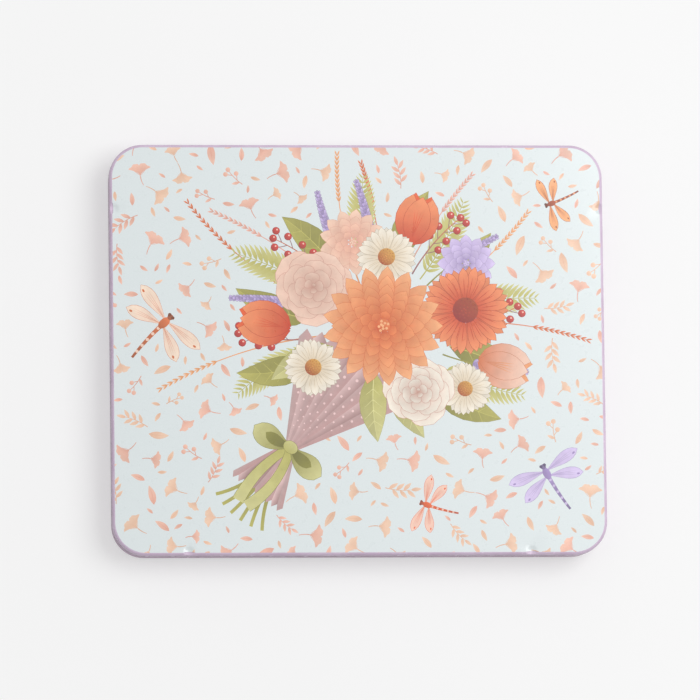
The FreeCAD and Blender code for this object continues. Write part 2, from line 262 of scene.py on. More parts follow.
def tin_finish(name, colours, middle, hem=None):
    """Enamel outside, with painted shade along any hem, and lacquered tinplate on what faces the tin's
    middle.
    """
    deep, pale = colours
    finish = Finish(name, Coat_Weight=0.15, Coat_Roughness=0.08, Specular_IOR_Level=0.2)
    outwards = finish.vector("SUBTRACT", finish.scaled(SIDEWAYS, SIDEWAYS, 1), (0, 0, middle * MM))
    inside = finish.math("LESS_THAN", finish.vector("DOT_PRODUCT", finish.facing, outwards, "Value"), 0.0)
    mottle = finish.span(finish.noise(90, 4), 0.35, 0.65)
    enamel = finish.mix(mottle, deep, pale)
    on_fold = finish.span(finish.math("ABSOLUTE", finish.part(finish.facing, "Z")), 0.2, 0.6)
    specks = finish.span(finish.noise(1, 5, finish.scaled(900, 900, 900)), 0.64, 0.72)
    worn = finish.math("MULTIPLY", specks, on_fold)
    enamel = finish.mix(finish.math("MULTIPLY", worn, 0.5), enamel, shade(pale, 1.12))
    # Painted shade: the skirt turns deep mauve towards its hem, where the shadow under the lid falls
    if hem is not None:
        height = finish.part(finish.place, "Z")
        painted_hem_shade = finish.span(height, (hem + HEM_DARK) * MM, (hem + HEM_SHADE) * MM, 1.0, 0.0)
        enamel = finish.mix(painted_hem_shade, enamel, PAINTED_HEM_SHADE)
    spangle = finish.span(finish.cells(240), 0.0, 0.9)
    plate = finish.mix(spangle, (206, 206, 204), (222, 221, 217))
    return finish.set(
        Base_Color=finish.mix(inside, enamel, plate),
        Metallic=finish.math("MULTIPLY", inside, 0.8),
        Roughness=finish.span(finish.noise(160, 4), 0.3, 0.7, 0.20, 0.30),
        Normal=finish.bump(finish.noise(30, 1), 0.00006, finish.bump(finish.noise(900, 2), 0.000003)),
    )


def print_finish():
    """Varnished ink: the picture's colours, settled unevenly like watercolour, under a gloss coat."""
    finish = Finish("lid_print", Coat_Weight=0.7, Coat_Roughness=0.10)
    ink = finish.node("ShaderNodeVertexColor", layer_name=INK).outputs
    pools = finish.span(finish.noise(230, 5), 0.30, 0.72, 0.91, 1.06)
    grain = finish.span(finish.noise(1500, 3), 0.30, 0.70, 0.985, 1.015)
    tone = finish.math("MULTIPLY", finish.span(ink["Alpha"], 0.0, 1.0, 1.0, pools), grain)
    return finish.set(
        Base_Color=finish.mix(1.0, ink["Color"], finish.grey(tone), "MULTIPLY"),
        Roughness=finish.span(finish.noise(300, 3), 0.3, 0.7, 0.26, 0.36),
        Normal=finish.bump(finish.noise(22, 1), 0.00005, finish.bump(finish.noise(1100, 2), 0.000005)),
    )


def steel_finish():
    """Drawn steel wire with fine turned lines."""
    finish = Finish("pin_steel", Metallic=1.0)
    lines = finish.noise(1, 2, finish.scaled(9000, 300, 300))
    return finish.set(
        Base_Color=finish.mix(lines, (176, 176, 180), (206, 205, 206)),
        Roughness=finish.span(lines, 0.3, 0.7, 0.22, 0.38),
        Normal=finish.bump(lines, 0.00001),
    )


def tray_finish():
    """Warm white formed plastic, finely pebbled, a little darker and greyer towards the bottom."""
    finish = Finish("tray_plastic", Specular_IOR_Level=0.45, Subsurface_Weight=0.05, Subsurface_Scale=0.002)
    low, high = box_mm("pencil_tray")
    # Darker and greyer towards the bottom of the tray, lighter towards its top
    height_share = finish.span(finish.part(finish.place, "Z"), low[2] * MM, high[2] * MM)
    cloud = finish.span(finish.noise(60, 4), 0.3, 0.7, 0.0, 0.35)
    tone = finish.mix(height_share, (212, 209, 203), (232, 229, 223))
    pebbles = finish.noise(2600, 2)
    return finish.set(
        Base_Color=finish.mix(cloud, tone, (222, 219, 214)),
        Roughness=finish.span(pebbles, 0.35, 0.65, 0.40, 0.52),
        Normal=finish.bump(pebbles, 0.00002),
    )


def barrel_finish(name, colour):
    """A lacquered barrel with a dipped end and a pale ring, and bare cedar where it is sharpened."""
    finish = Finish(name, Coat_Weight=0.4, Coat_Roughness=0.12)
    along = finish.part(finish.place, "Y")
    ragged = finish.math("ADD", along, finish.span(finish.noise(700, 2), 0.3, 0.7, -0.0003, 0.0003))
    is_wood = finish.math("GREATER_THAN", ragged, PENCIL_SHOULDER * MM)
    dip_end = PENCIL_END + PENCIL_DIP
    is_dip = finish.math("LESS_THAN", along, dip_end * MM)
    past_ring_start = finish.math("GREATER_THAN", along, (dip_end - PENCIL_RING) * MM)
    is_ring = finish.math("MULTIPLY", is_dip, past_ring_start)
    grain = finish.noise(1, 4, finish.scaled(1500, 45, 1500))
    wood = finish.mix(finish.span(grain, 0.35, 0.65), (176, 122, 82), (222, 180, 138))
    flow = finish.span(finish.noise(1, 3, finish.scaled(260, 40, 260)), 0.3, 0.7)
    lacquer = finish.mix(flow, shade(colour, 0.95), shade(colour, 1.03))
    lacquer = finish.mix(is_dip, lacquer, shade(colour, 0.86))
    lacquer = finish.mix(is_ring, lacquer, (236, 228, 208))
    return finish.set(
        Base_Color=finish.mix(is_wood, lacquer, wood),
        Roughness=finish.span(is_wood, 0.0, 1.0, 0.24, 0.72),
        Normal=finish.bump(grain, 0.00003),
    )


def core_finish(name, colour):
    """Pressed pastel: chalky, speckled and dull."""
    finish = Finish(name, Specular_IOR_Level=0.15)
    chalk = finish.noise(1800, 5)
    dust = finish.span(chalk, 0.35, 0.65)
    return finish.set(
        Base_Color=finish.mix(dust, shade(colour, 0.90), shade(colour, 1.05)),
        Roughness=finish.span(dust, 0.0, 1.0, 0.82, 0.95),
        Normal=finish.bump(chalk, 0.00008),
    )


def foam_finish():
    """White closed-cell foam: small bubbles with painted shade between them, a soft sheen and a little
    yellowing.
    """
    finish = Finish("foam", Sheen_Weight=0.25, Sheen_Roughness=0.5, Specular_IOR_Level=0.2)
    bubbles = finish.cells(1100)
    age = finish.span(finish.noise(35, 4), 0.3, 0.7, 0.0, 0.6)
    # Painted shade: each bubble is darker towards its rim, where the bump sinks between bubbles
    clean = finish.mix(finish.span(bubbles, 0.0, 0.8), (240, 239, 236), (226, 225, 221))
    return finish.set(
        Base_Color=finish.mix(age, clean, (236, 232, 222)),
        Roughness=finish.span(bubbles, 0.0, 0.8, 0.80, 0.95),
        Normal=finish.bump(finish.math("MULTIPLY", bubbles, -1.0), 0.00012),
    )


def dress(node, material):
    """Puts a material on a CAD node."""
    slots = nodes[node].data.materials
    slots.clear()
    slots.append(material)


# Meshes

# Points nearer than this are one point
JOIN = 1e-4
# The kind of result that keeps the triangles inside the outlines
INSIDE_ONLY = 1
SHARP_DEGREES = 35


def added(name, data):
    """A new object in the scene, made of a mesh, a lamp or a camera."""
    made = bpy.data.objects.new(name, data)
    bpy.context.scene.collection.objects.link(made)
    return made


def rounded(half, corner, spacing, arc_steps=14):
    """A rounded rectangle, anticlockwise, with points about spacing apart on its straight sides."""
    centres = (half - corner) * np.array([[1, -1], [1, 1], [-1, 1], [-1, -1]])
    points = []
    for quarter, centre in enumerate(centres):
        angles = math.pi / 2 * (quarter - 1 + np.linspace(0, 1, arc_steps + 1))
        arc = centre + corner * np.column_stack([np.cos(angles), np.sin(angles)])
        side = centres[(quarter + 1) % len(centres)] - centre
        steps = math.ceil(np.linalg.norm(side) / spacing)
        straight = [arc[-1] + side * step / steps for step in range(1, steps)]
        points.extend([*arc, *straight])
    return np.array(points)


def within(points, half, corner, margin):
    """Which points lie in a rounded rectangle, that far inside its edge."""
    beyond = np.maximum(np.abs(points) - (half - corner), 0)
    return np.linalg.norm(beyond, axis=1) < corner - margin


def filled(outline, inner):
    """Triangles, anticlockwise, over an outline and through inner points, numbered outline first."""
    points = [Vector(point) for point in (*outline, *inner)]
    shape = list(range(len(outline)))
    _, _, triangles, sources, _, _ = delaunay_2d_cdt(points, [], [shape], INSIDE_ONLY, JOIN)
    return [[sources[corner][0] for corner in triangle] for triangle in triangles]


def rim_of(triangles):
    """The vertices round the edge of a sheet of triangles, anticlockwise."""
    edges = {(t[k - 1], t[k]) for t in triangles for k in range(3)}
    follows = {first: second for first, second in edges if (second, first) not in edges}
    rim = [min(follows)]
    while follows[rim[-1]] != rim[0]:
        rim.append(follows[rim[-1]])
    return rim


def mesh_piece(name, vertices, faces, material, body):
    """A smooth mesh from millimetres, sharp at its folds, that rides on a body and takes a slot's finish."""
    mesh = bpy.data.meshes.new(name)
    mesh.from_pydata(np.array(vertices) * MM, [], faces)
    mesh.polygons.foreach_set("use_smooth", np.ones(len(faces), bool))
    mesh.set_sharp_from_angle(angle=math.radians(SHARP_DEGREES))
    mesh.materials.append(material)
    piece = added(name, mesh)
    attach(piece, body)
    return piece


# Drawing tools for the picture on the lid, which take and return points in millimetres

INK = "ink"
EDGE_LINE = 0.16
GOLDEN_ANGLE = 137.5


def at_angle(angle, length=1.0):
    """The step of that length in that direction, in degrees."""
    return length * np.array([math.cos(math.radians(angle)), math.sin(math.radians(angle))])


def bent(points, length, curl):
    """Points along +x, bent so that the direction has turned by curl degrees after that length."""
    if abs(curl) < 1:
        return points
    radius = length / math.radians(curl)
    angles = points[:, 0] / radius
    reach = radius - points[:, 1]
    return np.column_stack([reach * np.sin(angles), radius - reach * np.cos(angles)])


def placed(points, base, angle):
    """Points turned by an angle in degrees and moved to a base."""
    return base + points[:, :1] * at_angle(angle) + points[:, 1:] * at_angle(angle + 90)


def leaf_outline(length, width, widest=0.45, roundness=0.9, steps=7):
    """A leaf or petal along +x from the origin, widest at that share of its length."""
    along = np.linspace(0, 1, steps + 1)
    power = math.log(0.5) / math.log(widest)
    half = width / 2 * np.clip(np.sin(math.pi * along**power), 0, 1) ** roundness
    near = np.column_stack([along * length, -half])
    far = np.column_stack([along * length, half])
    return np.vstack([near, far[-2:0:-1]])


def round_outline(centre, radius, flatness=1.0, angle=0.0, steps=12):
    """A circle, or an ellipse if flatness isn't 1."""
    angles = np.linspace(0, 2 * math.pi, steps, endpoint=False)
    points = radius * np.column_stack([np.cos(angles), flatness * np.sin(angles)])
    return placed(points, centre, angle)


def stem_points(base, angle, length, curl, steps=8):
    """Points along a stem that leaves base at an angle and curls."""
    straight = np.column_stack([np.linspace(0, length, steps + 1), np.zeros(steps + 1)])
    return placed(bent(straight, length, curl), base, angle)


def stroke_outline(points, width, end_width):
    """A brush stroke along points, from one width to another."""
    along = np.gradient(points, axis=0)
    normal = np.column_stack([-along[:, 1], along[:, 0]])
    normal /= np.linalg.norm(normal, axis=1)[:, None]
    half = np.linspace(width, end_width, len(points))[:, None] / 2
    return np.vstack([points - normal * half, (points + normal * half)[::-1]])


def signed_area(points):
    """The area of an outline, above 0 if it runs anticlockwise."""
    after = np.roll(points, -1, axis=0)
    return 0.5 * np.sum(points[:, 0] * after[:, 1] - points[:, 1] * after[:, 0])


class Picture:
    """Flat shapes, each painted over those before it in a wash from one colour to another."""

    def __init__(self):
        self.outlines = []
        self.washes = []

    def wash(self, outline, start, end, start_colour, end_colour):
        """Paints an outline from one colour at start to another at end."""
        self.outlines.append(outline if signed_area(outline) > 0 else outline[::-1])
        self.washes.append((start, end, linear(start_colour), linear(end_colour)))

    def flat(self, outline, colour):
        """Paints an outline in one colour."""
        self.wash(outline, outline[0], outline[0] + 1.0, colour, colour)

    def disc(self, centre, radius, colour, shadow=None, flatness=1.0, angle=0.0, steps=12):
        """Paints a round shape, lit from its upper right."""
        toward = at_angle(45, radius)
        outline = round_outline(centre, radius, flatness, angle, steps)
        self.wash(outline, centre + toward, centre - toward, colour, shadow or colour)

    def stroke(self, points, width, end_width, colour, end_colour=None):
        """Paints a brush stroke."""
        outline = stroke_outline(points, width, end_width)
        self.wash(outline, points[0], points[-1], colour, end_colour or colour)

    def petal(
        self, base, angle, length, width, colours, widest=0.55, roundness=0.75, curl=0.0, edge=None, steps=7
    ):
        """Paints a petal or leaf from its base to its tip, over a thin edge line if it has one."""
        if edge is not None:
            larger = leaf_outline(length + 2 * EDGE_LINE, width + 2 * EDGE_LINE, widest, roundness, steps)
            larger[:, 0] -= EDGE_LINE
            self.flat(placed(bent(larger, length, curl), base, angle), edge)
        outline = leaf_outline(length, width, widest, roundness, steps)
        tip = base + at_angle(angle + curl / 2, length)
        self.wash(placed(bent(outline, length, curl), base, angle), base, tip, *colours)


# Plants of the picture


def leaf(art, base, angle, length, width, colours, curl=0.0):
    """A leaf with a shaded half, a midrib and side veins."""
    dark, light = colours
    art.petal(base, angle, length, width, (dark, light), 0.45, 0.9, curl, shade(dark, 0.86))
    outline = leaf_outline(length, width)
    shaded = placed(bent(np.minimum(outline, [length, 0]), length, curl), base, angle)
    tip = base + at_angle(angle + curl / 2, length)
    art.wash(shaded, base, tip, shade(dark, 0.92), shade(light, 0.92))
    vein = shade(light, 1.08)
    for share in (0.25, 0.4, 0.55, 0.7):
        reach = 0.36 * width * math.sin(math.pi * share)
        for side in (-1, 1):
            twig = length * np.array([[share, 0], [share, 0]]) + [[0, 0], [0.9 * reach, side * reach]]
            art.stroke(placed(bent(twig, length, curl), base, angle), 0.24, 0.08, vein)
    art.stroke(stem_points(base, angle, 0.94 * length, 0.94 * curl), 0.42, 0.12, vein)


def dahlia(art, centre, radius, colours, petals, rings):
    """A full round bloom of pointed petals in rings that deepen towards its heart."""
    dark, middle, light = colours
    for ring in range(rings):
        reach = radius * (1 - ring / (rings + 0.7))
        count = petals - 2 * ring
        depth = ring / rings
        width = 1.55 * math.pi * reach / count
        for number in range(count):
            angle = 360 * (number + 0.5 * (ring % 2)) / count
            base = centre + at_angle(angle, 0.28 * reach)
            tone = 1 + 0.025 * math.sin(2.4 * number + ring)
            tip = shade(blend(light, middle, depth), tone)
            edge = shade(blend(middle, dark, 0.3 + 0.5 * depth), 0.95)
            art.petal(base, angle, 0.72 * reach, width, (dark, tip), 0.58, 0.8, edge=edge)
            for side in (-1, 0, 1):
                start = centre + at_angle(angle + 3 * side, 0.34 * reach)
                streak = (0.46 - 0.08 * abs(side)) * reach
                tint = (shade(dark, 0.97), blend(middle, tip, 0.4))
                art.petal(start, angle + 6 * side, streak, 0.09 * width, tint, steps=3)
    art.disc(centre, 0.12 * radius, middle, dark)
    for number in range(9):
        spot = centre + at_angle(GOLDEN_ANGLE * number, 0.033 * radius * math.sqrt(number))
        art.disc(spot, 0.025 * radius, light, steps=6)


def daisy(art, centre, radius, colours, heart, petals=17, turn=0.0):
    """Two rounds of narrow petals about a domed heart."""
    dark, light = colours
    width = 1.45 * math.pi * radius / petals
    for layer, depth in enumerate((0.94, 1.0)):
        for number in range(petals):
            angle = turn + 360 * (number + 0.5 * layer) / petals + 3 * math.sin(2.4 * number)
            length = radius * (0.78 + 0.04 * math.sin(1.7 * number + layer))
            base = centre + at_angle(angle, 0.18 * radius)
            tints = (shade(dark, depth), shade(light, depth))
            art.petal(base, angle, length, width, tints, 0.66, 0.62, edge=shade(dark, 0.86 * depth))
            vein = centre + at_angle(angle, 0.32 * radius)
            art.petal(vein, angle, 0.55 * length, 0.3, (shade(dark, 0.9), shade(dark, 1.02)), steps=3)
    art.disc(centre, 0.29 * radius, *heart, steps=18)
    for number in range(34):
        spot = centre + at_angle(GOLDEN_ANGLE * number, 0.045 * radius * math.sqrt(number))
        tint = shade(heart[0], 1.12 - 0.01 * number)
        art.disc(spot, 0.024 * radius, tint, shade(heart[1], 1.1), steps=6)


def rose(art, centre, radius, colours, turn=0.0, petals=25):
    """An open garden rose: broad petals in a spiral that tightens towards its heart."""
    dark, light = colours
    for number in range(petals):
        share = number / petals
        reach = radius * (1 - share) ** 0.75
        angle = turn + GOLDEN_ANGLE * number
        base = centre - at_angle(angle, 0.06 * radius * (1 - share))
        tints = (shade(dark, 0.96 - 0.10 * share), shade(light, 1.02 - 0.10 * share))
        edge = shade(dark, 0.93 - 0.08 * share)
        art.petal(base, angle, 1.06 * reach, 1.02 * reach, tints, 0.66, 0.5, edge=edge, steps=10)


def tulip(art, base, angle, length, colours):
    """A tulip from the side, three petals before two."""
    dark, middle, light = colours
    for side in (-1, 1):
        lean = angle + 9 * side
        art.petal(base, lean, 0.98 * length, 0.4 * length, (dark, middle), 0.55, 0.8, edge=dark)
    edge = shade(dark, 0.9)
    for side in (-1, 1):
        outer = base + at_angle(angle + 90 * side, 0.04 * length)
        lean, curl = angle + 24 * side, -30 * side
        art.petal(outer, lean, 0.95 * length, 0.46 * length, (dark, light), 0.48, 0.75, curl, edge)
    art.petal(base, angle, 0.92 * length, 0.5 * length, (dark, light), 0.5, 0.72, edge=edge)
    for lean in (-10, -4, 3, 9):
        vein = base + at_angle(angle, 0.12 * length)
        art.petal(vein, angle + lean, 0.55 * length, 0.35, (shade(dark, 0.95), middle), steps=3)


def spike(art, base, angle, length, curl, colours, steps=24, bare=9):
    """A stem of lavender, with small buds in whorls above its bare part."""
    dark, light = colours
    stem = stem_points(base, angle, length, curl, steps)
    art.stroke(stem, 0.7, 0.35, DEEP_OLIVE, OLIVE)
    for step in range(bare, steps + 1):
        lean = angle + curl * step / steps
        size = 3.6 * (1 - 0.5 * (step - bare) / (steps - bare))
        for side in (1, -1, 0):
            tone = 0.92 + 0.08 * ((step + side) % 3)
            tints = (shade(dark, tone), shade(light, tone))
            edge = shade(dark, 0.85)
            art.petal(stem[step], lean + 42 * side, size, 0.56 * size, tints, edge=edge, steps=4)


def berry(art, centre, radius=1.6):
    """One berry with a glint."""
    art.disc(centre, radius + EDGE_LINE, DEEP_BERRY)
    art.disc(centre, radius, shade(BERRY, 1.12), shade(BERRY, 0.86))
    art.disc(centre + at_angle(50, 0.45 * radius), 0.26 * radius, shade(BLUSH, 1.05), steps=7)


def berries(art, base, angle, length, curl, twigs=7, steps=24, bare=8):
    """A twig of berries."""
    stem = stem_points(base, angle, length, curl, steps)
    art.stroke(stem, 0.7, 0.35, DEEP_MAUVE, RUST)
    for number in range(twigs):
        step = bare + (steps - bare) * number // twigs
        side = 1 if number % 2 else -1
        lean = angle + curl * step / steps + 48 * side
        twig = stem_points(stem[step], lean, 0.17 * length, -20 * side, 4)
        art.stroke(twig, 0.4, 0.3, DEEP_MAUVE)
        berry(art, twig[-1])
    berry(art, stem[-1])


def fern(art, base, angle, length, curl, colours, pairs=17):
    """A frond with paired leaflets that shorten to its tip."""
    dark, light = colours
    stem = stem_points(base, angle, length, curl, pairs)
    art.stroke(stem, 0.6, 0.25, dark)
    for pair in range(2, pairs + 1):
        lean = angle + curl * pair / pairs
        size = 0.24 * length * math.sin(math.pi * (0.12 + 0.8 * pair / pairs)) ** 0.8
        for side in (-1, 1):
            turn = lean + 54 * side
            art.petal(stem[pair], turn, size, 0.22 * size, (dark, light), 0.35, 0.8, -18 * side, steps=5)


def grass(art, base, angle, length, curl, colour, steps=30, bare=20):
    """A long blade of grass with a feathered ear."""
    stem = stem_points(base, angle, length, curl, steps)
    art.stroke(stem, 0.75, 0.22, shade(colour, 0.92), shade(colour, 1.08))
    for step in range(bare, steps + 1):
        lean = angle + curl * step / steps
        for side in (-1, 1):
            tint = (shade(colour, 0.9), shade(colour, 1.12))
            art.petal(stem[step], lean + 20 * side, 3.0, 0.75, tint, steps=3)


# The bouquet: where its stems are tied, which way it leans and where its blooms gather
TIE = np.array([-31.0, -44.0])
LEAN = 52.0
BLOOMS_REACH = 66.0
BLOOMS = TIE + at_angle(LEAN, BLOOMS_REACH)
WRAP_REACH = 50.0
WRAP_FOOT = 24.0
WRAP_SPREAD = 66.0
WRAP_FOLDS = 9
ORANGE_SHADES = ((208, 88, 42), (235, 130, 74), (250, 182, 130))
FLAME_SHADES = (DEEP_FLAME, FLAME, LIGHT_FLAME)
PEACH_SHADES = (SALMON, (244, 186, 160), (250, 214, 190))
GREEN_SHADES = (DEEP_OLIVE, OLIVE)
PALE_GREEN_SHADES = (OLIVE, PALE_OLIVE)
CREAM_SHADES = (SHADED_CREAM, CREAM)
HONEY_SHADES = (HONEY, DEEP_RUST)
GRASS_SHADES = (RUST, AMBER, SALMON)
# What stands behind the blooms: each direction, with a length for blades and fronds, and a curl
GRASSES = (
    (8, 74, -26), (30, 66, 22), (66, 62, -18), (88, 56, 20),
    (112, 62, -24), (136, 72, 20), (158, 84, -30), (184, 82, 26),
)
FERNS = ((-30, 40, 20), (18, 42, -20), (52, 40, 16), (100, 40, -16), (146, 44, 18), (196, 40, 26))
LEAVES = ((-44, 30), (-12, -24), (36, 20), (76, -22), (124, 22), (170, -26), (204, -30))
SPIKES = ((-20, 16), (44, -18), (94, 14), (118, -16), (162, 18))
BERRY_TWIGS = ((4, 24), (60, -22), (132, 24), (186, -20))
STEM_LEANS = (-13, -8, -3, 2, 7, 12)


def wrap(art):
    """Folded mauve paper round the stems, with pale dots."""
    edges = np.linspace(-WRAP_SPREAD / 2, WRAP_SPREAD / 2, WRAP_FOLDS + 1)
    across = at_angle(LEAN + 90)
    waist = [TIE + 0.085 * edge * across for edge in edges]
    mouth = [TIE + at_angle(LEAN + edge, WRAP_REACH) for edge in edges]
    foot = [TIE - at_angle(LEAN, WRAP_FOOT) + 0.42 * edge * across for edge in edges]
    for fold in range(WRAP_FOLDS):
        middle = LEAN + (edges[fold] + edges[fold + 1]) / 2
        crest = TIE + at_angle(middle, WRAP_REACH + 4)
        notch = (foot[fold] + foot[fold + 1]) / 2 - at_angle(LEAN, 2.5)
        tones = (0.88, 1.05) if fold % 2 else (1.04, 0.90)
        tints = (shade(MAUVE, tones[0]), shade(PALE_MAUVE, tones[1]))
        above = np.array([waist[fold], mouth[fold], crest, mouth[fold + 1], waist[fold + 1]])
        below = np.array([waist[fold + 1], foot[fold + 1], notch, foot[fold], waist[fold]])
        art.wash(above, mouth[fold], mouth[fold + 1], *tints)
        art.wash(below, foot[fold], foot[fold + 1], *tints)
        for row in range(8):
            spot = TIE + at_angle(middle, 10 + 5 * row + 2.5 * (fold % 2))
            art.disc(spot, 0.35 + 0.06 * row, shade(PALE_MAUVE, 1.12), steps=8)


def bow(art):
    """An olive ribbon tied round the paper: two tails, two loops and a knot."""
    dark, light = DEEP_OLIVE, PALE_OLIVE
    edge = shade(dark, 0.85)
    for side, curl in ((-1, 34), (1, -46)):
        tail = stem_points(TIE, LEAN + 180 + 24 * side, 34, curl, 12)
        art.stroke(tail, 3.4 + 2 * EDGE_LINE, 5.4 + 2 * EDGE_LINE, edge)
        art.stroke(tail, 3.4, 5.4, OLIVE, light)
    for side in (-1, 1):
        angle = LEAN + 90 * side + 18 * side
        art.petal(TIE, angle, 19, 10.5, (dark, light), 0.62, 0.6, -24 * side, edge, 10)
        art.petal(TIE, angle, 13, 5.2, (shade(dark, 0.8), dark), 0.62, 0.6, -24 * side, steps=8)
    art.disc(TIE, 3.4 + EDGE_LINE, edge, flatness=0.8, angle=LEAN + 90, steps=16)
    art.disc(TIE, 3.4, light, OLIVE, flatness=0.8, angle=LEAN + 90, steps=16)


def bouquet(art):
    """A tied bouquet of common garden flowers, painted from the back to the front."""

    def around(angle, reach):
        return BLOOMS + at_angle(angle, reach)

    for number, (angle, length, curl) in enumerate(GRASSES):
        grass(art, around(angle, 20), angle, length, curl, GRASS_SHADES[number % len(GRASS_SHADES)])
    for angle, length, curl in FERNS:
        fern(art, around(angle, 30), angle, length, curl, PALE_GREEN_SHADES)
    for angle, curl in LEAVES:
        leaf(art, around(angle, 32), angle, 36, 13, GREEN_SHADES, curl)
    for angle, curl in SPIKES:
        spike(art, around(angle, 30), angle, 38, curl, (DEEP_LILAC, LILAC))
    for angle, curl in BERRY_TWIGS:
        berries(art, around(angle, 30), angle, 34, curl)
    for lean in STEM_LEANS:
        start = TIE - at_angle(LEAN + lean, WRAP_FOOT - 6)
        stem = stem_points(start, LEAN + 180 + lean, 20 + lean % 5, 2 * lean)
        art.stroke(stem, 1.7, 1.5, DEEP_OLIVE, OLIVE)
    wrap(art)
    for angle, reach in ((198, 46), (262, 42), (286, 44)):
        leaf(art, around(angle, reach - 24), angle, 32, 12, PALE_GREEN_SHADES, 20)
    tulip(art, around(178, 40), 168, 25, FLAME_SHADES)
    tulip(art, around(70, 42), 74, 24, FLAME_SHADES)
    tulip(art, around(-16, 46), -14, 25, (RUST, AMBER, PEACH))
    dahlia(art, around(106, 42), 15, PEACH_SHADES, petals=13, rings=4)
    dahlia(art, around(38, 50), 13, (DEEP_LILAC, LILAC, shade(LILAC, 1.1)), petals=12, rings=4)
    daisy(art, around(84, 34), 13.5, CREAM_SHADES, HONEY_SHADES, turn=5)
    daisy(art, around(208, 34), 13, CREAM_SHADES, HONEY_SHADES, turn=11)
    daisy(art, around(-34, 46), 12, CREAM_SHADES, HONEY_SHADES, turn=2)
    rose(art, around(146, 36), 19, (SALMON, PEACH))
    rose(art, around(-58, 32), 17, (SALMON, CREAM), 20)
    daisy(art, around(14, 40), 20, (DEEP_FLAME, LIGHT_FLAME), (DEEP_RUST, DEEP_BERRY), 21)
    dahlia(art, around(60, 3), 27, ORANGE_SHADES, petals=17, rings=6)
    bow(art)


def dragonfly(art, centre, angle, span, colours):
    """A dragonfly from above, its head at that angle."""
    dark, light = colours
    for reach, lean in ((0.52, 78), (0.47, 108)):
        for side in (-1, 1):
            base = centre + at_angle(angle, 0.03 * span * (1 if lean < 90 else -1))
            wing = angle + lean * side
            pale = shade(light, 1.1)
            art.petal(base, wing, reach * span, 0.15 * span, (light, pale), 0.66, 0.7, 8 * side, dark, 9)
            inner = 0.86 * reach * span
            for vein in (-4, 0, 4):
                art.petal(base, wing + vein, inner, 0.25, (dark, light), curl=8 * side, steps=4)
            spot = base + at_angle(wing + 6 * side, inner)
            art.disc(spot, 0.022 * span, dark, flatness=0.6, angle=wing, steps=8)
    tail = stem_points(centre, angle + 180, 0.56 * span, 10, 12)
    art.stroke(tail, 0.055 * span, 0.03 * span, dark, shade(dark, 0.8))
    for step in range(2, 12, 2):
        art.disc(tail[step], 0.02 * span, light, steps=8)
    art.disc(centre, 0.085 * span, shade(dark, 1.1), shade(dark, 0.85), 0.6, angle, 14)
    head = centre + at_angle(angle, 0.1 * span)
    art.disc(head, 0.036 * span, shade(dark, 0.8), steps=10)
    for side in (-1, 1):
        art.disc(head + at_angle(angle + 60 * side, 0.03 * span), 0.022 * span, shade(dark, 0.6), steps=8)


# Small peach motifs scattered over the ground


def small_leaf(art, middle, angle, size, colours):
    """One slim leaf with a midrib."""
    dark, light = colours
    base = middle - at_angle(angle, 0.5 * size)
    art.petal(base, angle - 8, size, 0.36 * size, (dark, light), 0.45, 0.9, 16, steps=7)
    art.petal(base, angle - 8, 0.85 * size, 0.25, (shade(dark, 0.97), dark), curl=13, steps=4)


def sprig(art, middle, angle, size, colours):
    """A short twig with slim leaves in turn on both sides."""
    dark, light = colours
    stem = stem_points(middle - at_angle(angle, 0.5 * size), angle - 12, 0.8 * size, 24, 7)
    art.stroke(stem, 0.4, 0.2, shade(dark, 0.97))
    for step in range(1, 8):
        lean = angle - 12 + 3.4 * step + (44 if step % 2 else -44) * (step < 7)
        art.petal(stem[step], lean, 0.34 * size, 0.12 * size, (dark, light), 0.45, 0.9, steps=5)


def fan_leaf(art, middle, angle, size, colours):
    """A fan-shaped leaf with a notch, fine veins and a stalk."""
    dark, light = colours
    foot = middle - at_angle(angle, 0.12 * size)
    rise = np.linspace(0, 0.92, 6)
    rim = np.linspace(-56, 56, 25)
    turns = np.concatenate([-56 * rise**0.4, rim, 56 * rise[:0:-1] ** 0.4])
    ripple = 1 + 0.035 * np.cos(np.radians(14 * rim)) - 0.22 * np.exp(-((rim / 5) ** 2))
    reach = 0.56 * size * np.concatenate([rise, ripple, rise[:0:-1]])
    fan = np.array([foot + at_angle(angle + turn, far) for turn, far in zip(turns, reach)])
    art.stroke(stem_points(foot, angle + 180, 0.42 * size, 24, 4), 0.45, 0.3, shade(dark, 0.97))
    art.wash(fan, foot, foot + at_angle(angle, 0.56 * size), dark, light)
    for turn in (-45, -27, -10, 10, 27, 45):
        art.petal(foot, angle + turn, 0.46 * size, 0.25, (shade(dark, 0.95), light), steps=3)


def berry_twig(art, middle, angle, size, colours):
    """A forked twig with three round berries and a leaf."""
    dark, light = colours
    stem = stem_points(middle - at_angle(angle, 0.5 * size), angle + 12, 0.8 * size, -24, 6)
    art.stroke(stem, 0.4, 0.28, shade(dark, 0.97))
    art.petal(stem[1], angle + 58, 0.32 * size, 0.12 * size, (dark, light), 0.45, 0.9, steps=5)
    ends = [stem[-1]]
    for step, side in ((2, -1), (4, 1)):
        fork = stem_points(stem[step], angle + 46 * side, 0.26 * size, -16 * side, 3)
        art.stroke(fork, 0.35, 0.28, shade(dark, 0.97))
        ends.append(fork[-1])
    for end in ends:
        art.disc(end, 0.095 * size, light, dark, steps=10)


SCATTER_SEED = 24
SCATTER_GAP = 0.8
SCATTER_SHADES = (((239, 190, 160), (247, 212, 186)), ((236, 174, 154), (247, 202, 182)))
